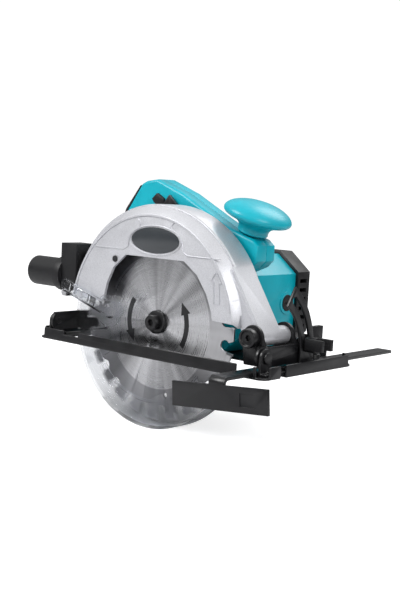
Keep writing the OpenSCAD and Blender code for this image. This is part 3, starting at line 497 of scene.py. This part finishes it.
def traced(node, name):
    """A merged copy of a CAD node's mesh, with its flat faces whole again."""
    source = frame["nodes"][node]
    piece = bpy.data.objects.new(name, source.data.copy())
    piece.data.name = name
    bpy.context.scene.collection.objects.link(piece)
    only(piece)
    bpy.ops.object.mode_set(mode="EDIT")
    bpy.ops.mesh.select_all(action="SELECT")
    bpy.ops.mesh.remove_doubles(threshold=0.000005)
    bpy.ops.mesh.dissolve_limited(angle_limit=math.radians(0.6))
    bpy.ops.object.mode_set(mode="OBJECT")
    return piece


def body_of(node):
    """The body that a CAD node belongs to."""
    for body, members in frame["record"]["behaviour"]["bodies"].items():
        if node in members:
            return body
    raise ValueError("no body holds " + node)


def slot_of(node):
    """The material slot that the record gives a CAD node."""
    for entry in frame["record"]["subparts"]:
        if entry["node"] == node:
            return entry["material_slot"]
    raise ValueError("no slot for " + node)


def rounded_from_frame(node, material, width, segments=2, angle=32.0):
    """A copy of a CAD node with rounded edges, which stands for that node."""
    piece = traced(node, node + "_skin")
    soften(piece, width, segments, angle)
    return finish_piece(piece, body_of(node), slot_of(node), material, node)


def outline_block(name, points, y0, y1):
    """A flat outline in X and Z, in millimetres, extruded along Y."""
    bpy.ops.object.select_all(action="DESELECT")
    bpy.ops.mesh.primitive_circle_add(vertices=len(points), radius=1.0, fill_type="NGON")
    piece = named(name)
    for vertex, point in zip(piece.data.vertices, points):
        vertex.co = (point[0] * MM, y0 * MM, point[1] * MM)
    only(piece)
    bpy.ops.object.mode_set(mode="EDIT")
    bpy.ops.mesh.select_all(action="SELECT")
    bpy.ops.mesh.extrude_region_move(TRANSFORM_OT_translate={"value": (0, (y1 - y0) * MM, 0)})
    bpy.ops.object.mode_set(mode="OBJECT")
    outward(piece)
    return piece


def spun(name, profile, steps=64):
    """A profile of radius and height, in millimetres, spun about Z at the origin."""
    bpy.ops.object.select_all(action="DESELECT")
    bpy.ops.mesh.primitive_circle_add(vertices=len(profile), radius=1.0, fill_type="NOTHING")
    piece = named(name)
    for vertex, point in zip(piece.data.vertices, profile):
        vertex.co = (point[0] * MM, 0.0, point[1] * MM)
    only(piece)
    for edge in piece.data.edges:
        edge.select = set(edge.vertices) == {0, len(profile) - 1}
    for vertex in piece.data.vertices:
        vertex.select = vertex.index in (0, len(profile) - 1)
    bpy.ops.object.mode_set(mode="EDIT")
    bpy.ops.mesh.select_mode(type="EDGE")
    bpy.ops.mesh.delete(type="EDGE")
    bpy.ops.mesh.select_all(action="SELECT")
    bpy.ops.mesh.spin(steps=steps, angle=2 * math.pi, center=(0, 0, 0), axis=(0, 0, 1))
    bpy.ops.object.mode_set(mode="OBJECT")
    outward(piece)
    return piece


def arc_points(radius, from_angle, to_angle, steps):
    """Points on a circle about the spindle, in X and Z, in millimetres."""
    height = spindle_height() / MM
    sweep = to_angle - from_angle
    turns = [math.radians(from_angle + sweep * i / steps) for i in range(steps + 1)]
    return [(radius * math.cos(a), height + radius * math.sin(a)) for a in turns]


def sideways(points, index, reach, closed):
    """A point moved square to the line that it is on."""
    count = len(points)
    before = points[(index - 1) % count] if closed or index > 0 else points[0]
    after = points[(index + 1) % count] if closed or index < count - 1 else points[-1]
    run = Vector((after[0] - before[0], after[1] - before[1])).normalized()
    return (points[index][0] - run.y * reach, points[index][1] + run.x * reach)


def bead(name, points, width, y0, y1, closed=False):
    """A raised line along points in X and Z, in millimetres, from a strip that is extruded along Y."""
    steps = len(points) if closed else len(points) - 1
    bpy.ops.object.select_all(action="DESELECT")
    bpy.ops.mesh.primitive_grid_add(x_subdivisions=steps, y_subdivisions=1, size=2.0)
    piece = named(name)
    for vertex in piece.data.vertices:
        index = round((vertex.co.x + 1) / 2 * steps) % len(points)
        x, z = sideways(points, index, math.copysign(width / 2, vertex.co.y), closed)
        vertex.co = (x * MM, y0 * MM, z * MM)
    outward(piece)
    bpy.ops.object.mode_set(mode="EDIT")
    bpy.ops.mesh.select_all(action="SELECT")
    bpy.ops.mesh.extrude_region_move(TRANSFORM_OT_translate={"value": (0, (y1 - y0) * MM, 0)})
    bpy.ops.object.mode_set(mode="OBJECT")
    outward(piece)
    return piece


# ---------------------------------------------------------------- pieces

# Lines of the casting's face, in X and Z, in millimetres
PANEL_LEFT = [
    (-72, 96), (-34, 96), (-28, 99), (-27, 107), (-22, 114), (-14, 118), (-13, 121), (-17, 126),
]
FACE_ARROW = [(79, 57), (85.5, 57), (83.5, 76), (86.5, 75), (80, 85), (74.5, 76.5), (77.5, 76.5)]
ARM_RIDGE = [(89.5, 87.5), (104.5, 64.0), (119.5, 40.5)]
BADGE_MIDDLE = (6, 107)
BADGE_REACH = (31.4, 13.4)         # half the badge's width and height, with its rim
BADGE_STEPS = 64
RIDGE_RADIUS = 99.6                # ridge on the casting's face
RIM_RIDGE_RADIUS = 108.6           # ridge on the casting's rim
RIM_STEP = 10.4                    # how far the rim's ridge lies behind the face
ARM_STEP = 7.5                     # how far the arm's ridge lies behind the face
BEAD_SINK = 0.8                    # how deep a raised line reaches into the casting
BEAD_RISE = 0.4                    # how far it stands proud

# The arrows on the blade: radii in millimetres, angles in degrees
ARROW_RADII = (33.5, 39.0)         # inner and outer edge of the shaft
ARROW_HEAD_RADII = (30.5, 36.3, 42.0)  # inner barb, tip and outer barb
ARROW_STARTS = (("turn_arrow_front", -32.0), ("turn_arrow_rear", 148.0))
ARROW_SWEEP = 50.0
ARROW_HEAD_SWEEP = 19.0
ARROW_DEPTH = (0.06, 0.02)         # how far it stands proud of the blade, and how deep it sits

# The front knob: radius and height of its profile, and its seat, in millimetres
KNOB_PROFILE = [
    (0, 1), (15.5, 1), (13.8, 4.5), (14.6, 8.5), (18.5, 11.8), (25.5, 14.0), (30.4, 15.6), (32.3, 18.2),
    (32.0, 21.0), (29.4, 24.4), (24.0, 27.6), (16.0, 30.1), (8.0, 31.2), (0, 31.5),
]
KNOB_SEAT = (72.0, 42.0, 116.6)
KNOB_TILT = 17.0
KNOB_MODEL_WIDTH = 64.6


class SAW_OT_guard(bpy.types.Operator):
    """Upper guard casting with its ridges, badge and stop"""
    bl_idname = "saw.guard"
    bl_label = "Upper guard"

    def execute(self, context):
        rounded_from_frame("upper_guard", cast_silver(), sizes().cast_edge)
        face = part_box("upper_guard")[0][1] / MM
        panel_right = [(2 * BADGE_MIDDLE[0] - x, z) for x, z in PANEL_LEFT]
        rim_ridge = arc_points(RIM_RIDGE_RADIUS, 34.0, 171.0, 96)
        lines = (
            ("guard_ridge", arc_points(RIDGE_RADIUS, 12.0, 171.0, 96), 2.0, face, False),
            ("guard_rim_ridge", rim_ridge, 1.4, face + RIM_STEP, False),
            ("guard_arm_ridge", ARM_RIDGE, 1.6, face + ARM_STEP, False),
            ("guard_panel_rear", PANEL_LEFT, 0.9, face, False),
            ("guard_panel_front", panel_right, 0.9, face, False),
            ("guard_arrow", FACE_ARROW, 0.9, face, True),
            ("badge_rim", self.badge_rim(), 0.9, face, True),
        )
        for name, points, width, level, closed in lines:
            piece = bead(name, points, width, level - BEAD_SINK, level + BEAD_RISE, closed)
            soften(piece, 0.25 * MM, 2)
            finish_piece(piece, "saw_body", "silver_casting", cast_silver())
        rounded_from_frame("guard_badge", badge_gloss(), 0.2 * MM)
        rounded_from_frame("stop_rubber", black_rubber(), 0.4 * MM)
        return {"FINISHED"}

    def badge_rim(self):
        """Points of the raised line around the badge."""
        turns = [2 * math.pi * i / BADGE_STEPS for i in range(BADGE_STEPS)]
        (x, z), (wide, tall) = BADGE_MIDDLE, BADGE_REACH
        return [(x + wide * math.cos(a), z + tall * math.sin(a)) for a in turns]


class SAW_OT_lower_guard(bpy.types.Operator):
    """Clear lower guard"""
    bl_idname = "saw.lower_guard"
    bl_label = "Lower guard"

    def execute(self, context):
        rounded_from_frame("lower_guard", clear_plastic(), 0.45 * MM)
        return {"FINISHED"}


class SAW_OT_blade(bpy.types.Operator):
    """Blade, tips, flanges and bolt"""
    bl_idname = "saw.blade"
    bl_label = "Blade"

    def execute(self, context):
        rounded_from_frame("saw_blade", blade_steel(), 0.15 * MM, 1)
        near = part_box("saw_blade")[0][1] / MM
        for name, start in ARROW_STARTS:
            piece = self.arrow(name, start, near)
            finish_piece(piece, "blade_spindle", "black_steel", black_steel())
        carbide = plain_steel("carbide", (0.5, 0.5, 0.52), 0.3, 0.4)
        rounded_from_frame("carbide_tips", carbide, 0.12 * MM, 1)
        rounded_from_frame("outer_flange", black_steel(), 0.5 * MM)
        rounded_from_frame("blade_bolt", black_steel(), 0.6 * MM)
        return {"FINISHED"}

    def arrow(self, name, start, near):
        """A curved arrow that shows which way the blade turns."""
        inner, outer = ARROW_RADII
        end = start + ARROW_SWEEP
        head = zip(ARROW_HEAD_RADII[::-1], (end, end + ARROW_HEAD_SWEEP, end))
        outline = arc_points(outer, start, end, 20)
        for radius, angle in head:
            outline += arc_points(radius, angle, angle, 1)[:1]
        outline += arc_points(inner, end, start, 20)
        return outline_block(name, outline, near - ARROW_DEPTH[0], near + ARROW_DEPTH[1])


class SAW_OT_housing(bpy.types.Operator):
    """Motor housing, end cover and brush caps"""
    bl_idname = "saw.housing"
    bl_label = "Motor housing"

    def execute(self, context):
        rounded_from_frame("motor_housing", housing_plastic(), sizes().mould_edge, 4)
        rounded_from_frame("end_cover", black_plastic(), 1.2 * MM, 3)
        rounded_from_frame("brush_caps", black_plastic(), 0.5 * MM)
        rounded_from_frame("gear_housing", cast_silver(), 0.6 * MM)
        rounded_from_frame("gear_cover", cast_silver(), 0.6 * MM)
        return {"FINISHED"}


# The handle's outline in X and Z above the sole, in millimetres
GRIP_OUTLINE = [
    (-56, 158), (-50, 161), (-36, 163), (-3, 151), (41, 129), (58, 121), (84, 113), (90, 108),
    (90, 94), (84, 88), (66, 80), (44.5, 96.4), (14, 96.4), (16, 103), (-40, 128), (-52, 125),
    (-64, 106), (-60, 86), (-26.6, 70), (-26.6, 52), (-60, 58), (-80, 74), (-86, 98), (-74, 132),
]


class SAW_OT_handle(bpy.types.Operator):
    """Handle shells, rear grip, trigger and lock button"""
    bl_idname = "saw.handle"
    bl_label = "Handle"

    def execute(self, context):
        low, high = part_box("handle_far")
        middle = low[1] / MM
        half = (high[1] - low[1]) / MM
        seam = sizes().seam / MM
        for node, side in (("handle_near", -1), ("handle_far", 1)):
            inner = middle + side * seam
            outer = middle + side * half
            reach = sorted((inner, outer))
            piece = outline_block(node + "_shell", GRIP_OUTLINE, *reach)
            only(piece)
            bpy.ops.object.mode_set(mode="EDIT")
            bpy.ops.mesh.select_all(action="DESELECT")
            bpy.ops.object.mode_set(mode="OBJECT")
            for edge in piece.data.edges:
                ends = [piece.data.vertices[i].co.y / MM for i in edge.vertices]
                edge.select = all(abs(y - outer) < 0.01 for y in ends)
            bpy.ops.object.mode_set(mode="EDIT")
            bpy.ops.mesh.select_mode(type="EDGE")
            bpy.ops.mesh.bevel(offset=sizes().grip_edge, segments=5, clamp_overlap=True)
            bpy.ops.object.mode_set(mode="OBJECT")
            soften(piece, 0.5 * MM, 2, 40)
            finish_piece(piece, "saw_body", "teal_plastic", housing_plastic(), node)
        rounded_from_frame("rear_grip", black_rubber(), 0.8 * MM)
        rounded_from_frame("trigger", black_plastic(), 0.8 * MM)
        rounded_from_frame("lock_button", black_plastic(), 0.6 * MM)
        return {"FINISHED"}


class SAW_OT_knob(bpy.types.Operator):
    """Front knob"""
    bl_idname = "saw.knob"
    bl_label = "Front knob"

    def execute(self, context):
        wider = sizes().knob_width / MM / KNOB_MODEL_WIDTH
        piece = spun("knob_cap", [(r * wider, h) for r, h in KNOB_PROFILE], 72)
        piece.rotation_euler = (0.0, math.radians(KNOB_TILT), 0.0)
        piece.location = [c * MM for c in KNOB_SEAT]
        settle(piece)
        smooth = piece.modifiers.new("smooth", "SUBSURF")
        smooth.levels = 1
        smooth.render_levels = 1
        bpy.ops.object.modifier_apply(modifier=smooth.name)
        bpy.ops.object.shade_smooth_by_angle(angle=SMOOTH_ANGLE)
        finish_piece(piece, "saw_body", "teal_plastic", housing_plastic(), "front_knob")
        return {"FINISHED"}


class SAW_OT_base(bpy.types.Operator):
    """Base plate, brackets, depth guide and fence"""
    bl_idname = "saw.base"
    bl_label = "Base and brackets"

    def execute(self, context):
        rounded_from_frame("bevel_pins", black_steel(), 0.4 * MM)
        for node in ("base_plate", "bevel_quadrant", "rear_lug", "fence_saddle", "rip_fence",
                     "front_bracket", "depth_guide", "pivot_bolt", "pivot_nut"):
            rounded_from_frame(node, black_steel(), sizes().sheet_edge)
        for node in ("fence_screw", "bevel_wing", "depth_lever", "spindle_lock"):
            rounded_from_frame(node, black_plastic(), 0.8 * MM)
        return {"FINISHED"}


class SAW_OT_nozzle(bpy.types.Operator):
    """Dust nozzle"""
    bl_idname = "saw.nozzle"
    bl_label = "Dust nozzle"

    def execute(self, context):
        rounded_from_frame("dust_nozzle", black_plastic(), 1.4 * MM, 3)
        return {"FINISHED"}


class SAW_OT_small_parts(bpy.types.Operator):
    """Materials of the pieces that stay as the CAD made them"""
    bl_idname = "saw.small_parts"
    bl_label = "Small parts"

    def execute(self, context):
        finishes = {
            "black_steel": black_steel, "black_plastic": black_plastic,
            "zinc_steel": plain_steel, "blade_steel": blade_steel,
            "silver_casting": cast_silver, "teal_plastic": housing_plastic,
            "black_rubber": black_rubber, "badge": badge_gloss,
            "clear_plastic": clear_plastic, "core_steel": dark_core,
            "copper": copper, "bronze": bronze, "carbon": black_rubber, "carbide": plain_steel,
        }
        for node, piece in frame["nodes"].items():
            material = finishes[slot_of(node)]()
            piece.data.materials.clear()
            piece.data.materials.append(material)
        return {"FINISHED"}


# ---------------------------------------------------------------- stage

# Lamps: name, place, width of the disc and power, in metres and watts
LAMPS = (
    ("key_light", (-0.9, -1.3, 1.4), 1.0, 34.0),
    ("fill_light", (1.7, -0.7, 1.0), 0.9, 17.0),
    ("back_light", (0.2, 1.6, 1.9), 1.6, 26.0),
)
FLOOR_SIZE = 14.0
FLOOR_GAP = 0.0005                 # below the saw, so that the two never share a plane
FLOOR_COLOUR = (0.55, 0.55, 0.56)
FLOOR_GLOW = 0.72                  # seen by the camera only
SKY_SEEN = 1.05                    # strength of the white sky behind the saw
SKY_LIGHT = 0.75                   # strength of the sky that lights the saw
SKY_HORIZON = (0.10, 0.105, 0.115, 1.0)
WHITE = (1.0, 1.0, 1.0, 1.0)

# The camera turns about the spindle from the blade's side: degrees and metres
VIEW_AZIMUTH = 39.95
VIEW_ELEVATION = 6.15
VIEW_ROLL = 3.12
VIEW_DISTANCE = 0.9735
VIEW_ASIDE = 0.03935               # the camera's step to the right
VIEW_RAISE = 0.0206                # the camera's step up
LENS = 62.4                        # millimetres
SENSOR = 36.0


class SAW_OT_stage(bpy.types.Operator):
    """Pale floor, soft lights and the camera"""
    bl_idname = "saw.stage"
    bl_label = "Stage"

    def execute(self, context):
        low, high = (Vector(corner) for corner in CAD_BOX)
        self.floor(low.z)
        for name, place, size, power in LAMPS:
            self.light(name, place, (low + high) / 2, size, power)
        self.sky()
        self.camera()
        return {"FINISHED"}

    def floor(self, height):
        """Pale paper under the saw."""
        bpy.ops.object.select_all(action="DESELECT")
        bpy.ops.mesh.primitive_plane_add(size=FLOOR_SIZE, location=(0, 0, height - FLOOR_GAP))
        floor = named("studio_floor")
        mat, tree, shader, place = new_material("studio_paper")
        if tree is not None:
            soft = add_grain(tree, place, 2.0, 2.0, colour=FLOOR_COLOUR, dark=0.995, light=1.0)
            tree.links.new(soft["Colour"], shader.inputs["Base Color"])
            shader.inputs["Roughness"].default_value = 0.9
            shader.inputs["Specular IOR Level"].default_value = 0.1
            shader.inputs["Emission Color"].default_value = WHITE
            seen = tree.nodes.new("ShaderNodeLightPath")
            glow = tree.nodes.new("ShaderNodeMath")
            glow.operation = "MULTIPLY"
            glow.inputs[1].default_value = FLOOR_GLOW
            tree.links.new(seen.outputs["Is Camera Ray"], glow.inputs[0])
            tree.links.new(glow.outputs["Value"], shader.inputs["Emission Strength"])
        floor.data.materials.append(mat)

    def light(self, name, place, target, size, power):
        """A round soft lamp that points at the saw."""
        bpy.ops.object.light_add(type="AREA", location=place)
        lamp = bpy.context.object
        lamp.name = name
        lamp.data.name = name
        lamp.data.shape = "DISK"
        lamp.data.size = size
        lamp.data.energy = power
        aim = target - Vector(place)
        lamp.rotation_euler = aim.to_track_quat("-Z", "Y").to_euler()

    def sky(self):
        """A white sky for the camera, and one that is dark at the horizon for the light."""
        world = bpy.data.worlds.new("studio_sky")
        world.use_nodes = True
        nodes, links = world.node_tree.nodes, world.node_tree.links
        back = nodes["Background"]
        back.inputs["Color"].default_value = WHITE
        back.inputs["Strength"].default_value = SKY_SEEN
        dim = nodes.new("ShaderNodeBackground")
        dim.inputs["Strength"].default_value = SKY_LIGHT
        look = nodes.new("ShaderNodeTexCoord")
        split = nodes.new("ShaderNodeSeparateXYZ")
        shade = nodes.new("ShaderNodeValToRGB")
        horizon, overhead = shade.color_ramp.elements
        horizon.position = 0.0
        horizon.color = SKY_HORIZON
        overhead.position = 0.75
        overhead.color = WHITE
        links.new(look.outputs["Generated"], split.inputs["Vector"])
        links.new(split.outputs["Z"], shade.inputs["Fac"])
        links.new(shade.outputs["Color"], dim.inputs["Color"])
        seen = nodes.new("ShaderNodeLightPath")
        both = nodes.new("ShaderNodeMixShader")
        links.new(seen.outputs["Is Camera Ray"], both.inputs["Fac"])
        links.new(dim.outputs["Background"], both.inputs[1])
        links.new(back.outputs["Background"], both.inputs[2])
        links.new(both.outputs["Shader"], nodes["World Output"].inputs["Surface"])
        bpy.context.scene.world = world
        bpy.context.scene.view_settings.view_transform = "Standard"

    def camera(self):
        """The camera, placed from the spindle and rolled about its line of sight."""
        azimuth, elevation, roll = (math.radians(a) for a in (VIEW_AZIMUTH, VIEW_ELEVATION, VIEW_ROLL))
        back = Vector((math.sin(azimuth) * math.cos(elevation), -math.cos(azimuth) * math.cos(elevation),
                       math.sin(elevation)))
        level = Vector((math.cos(azimuth), math.sin(azimuth), 0.0))
        rise = level.cross(-back)
        right = level * math.cos(roll) + rise * math.sin(roll)
        up = rise * math.cos(roll) - level * math.sin(roll)
        hub = Vector((0.0, 0.0, spindle_height()))
        place = hub + back * VIEW_DISTANCE + right * VIEW_ASIDE + up * VIEW_RAISE
        turn = Matrix((right, up, back)).transposed().to_euler()
        bpy.ops.object.camera_add(location=place, rotation=turn)
        camera = bpy.context.object
        camera.name = "studio_camera"
        camera.data.lens = LENS
        camera.data.sensor_width = SENSOR
        camera.data.clip_end = 50.0
        bpy.context.scene.camera = camera


OPERATORS = (
    SAW_OT_small_parts, SAW_OT_guard, SAW_OT_lower_guard, SAW_OT_blade, SAW_OT_housing,
    SAW_OT_handle, SAW_OT_knob, SAW_OT_base, SAW_OT_nozzle, SAW_OT_stage,
)


class SAW_PT_panel(bpy.types.Panel):
    """Sidebar panel with the saw's settings and operators"""
    bl_idname = "SAW_PT_panel"
    bl_label = "Circular saw"
    bl_space_type = "VIEW_3D"
    bl_region_type = "UI"
    bl_category = "Saw"

    def draw(self, context):
        layout = self.layout
        for group in (context.scene.saw_colours, context.scene.saw_sizes):
            box = layout.box()
            for key in group.__annotations__:
                box.prop(group, key)
        for operator in OPERATORS:
            layout.operator(operator.bl_idname)


CLASSES = (SawColours, SawSizes, *OPERATORS, SAW_PT_panel)


def register():
    for cls in CLASSES:
        bpy.utils.register_class(cls)
    bpy.types.Scene.saw_colours = bpy.props.PointerProperty(type=SawColours)
    bpy.types.Scene.saw_sizes = bpy.props.PointerProperty(type=SawSizes)


def unregister():
    del bpy.types.Scene.saw_sizes
    del bpy.types.Scene.saw_colours
    for cls in reversed(CLASSES):
        bpy.utils.unregister_class(cls)


def main():
    """Makes every piece and the stage."""
    register()
    bpy.ops.saw.small_parts()
    bpy.ops.saw.guard()
    bpy.ops.saw.lower_guard()
    bpy.ops.saw.blade()
    bpy.ops.saw.housing()
    bpy.ops.saw.handle()
    bpy.ops.saw.knob()
    bpy.ops.saw.base()
    bpy.ops.saw.nozzle()
    bpy.ops.saw.stage()


if __name__ == "__main__":
    main()
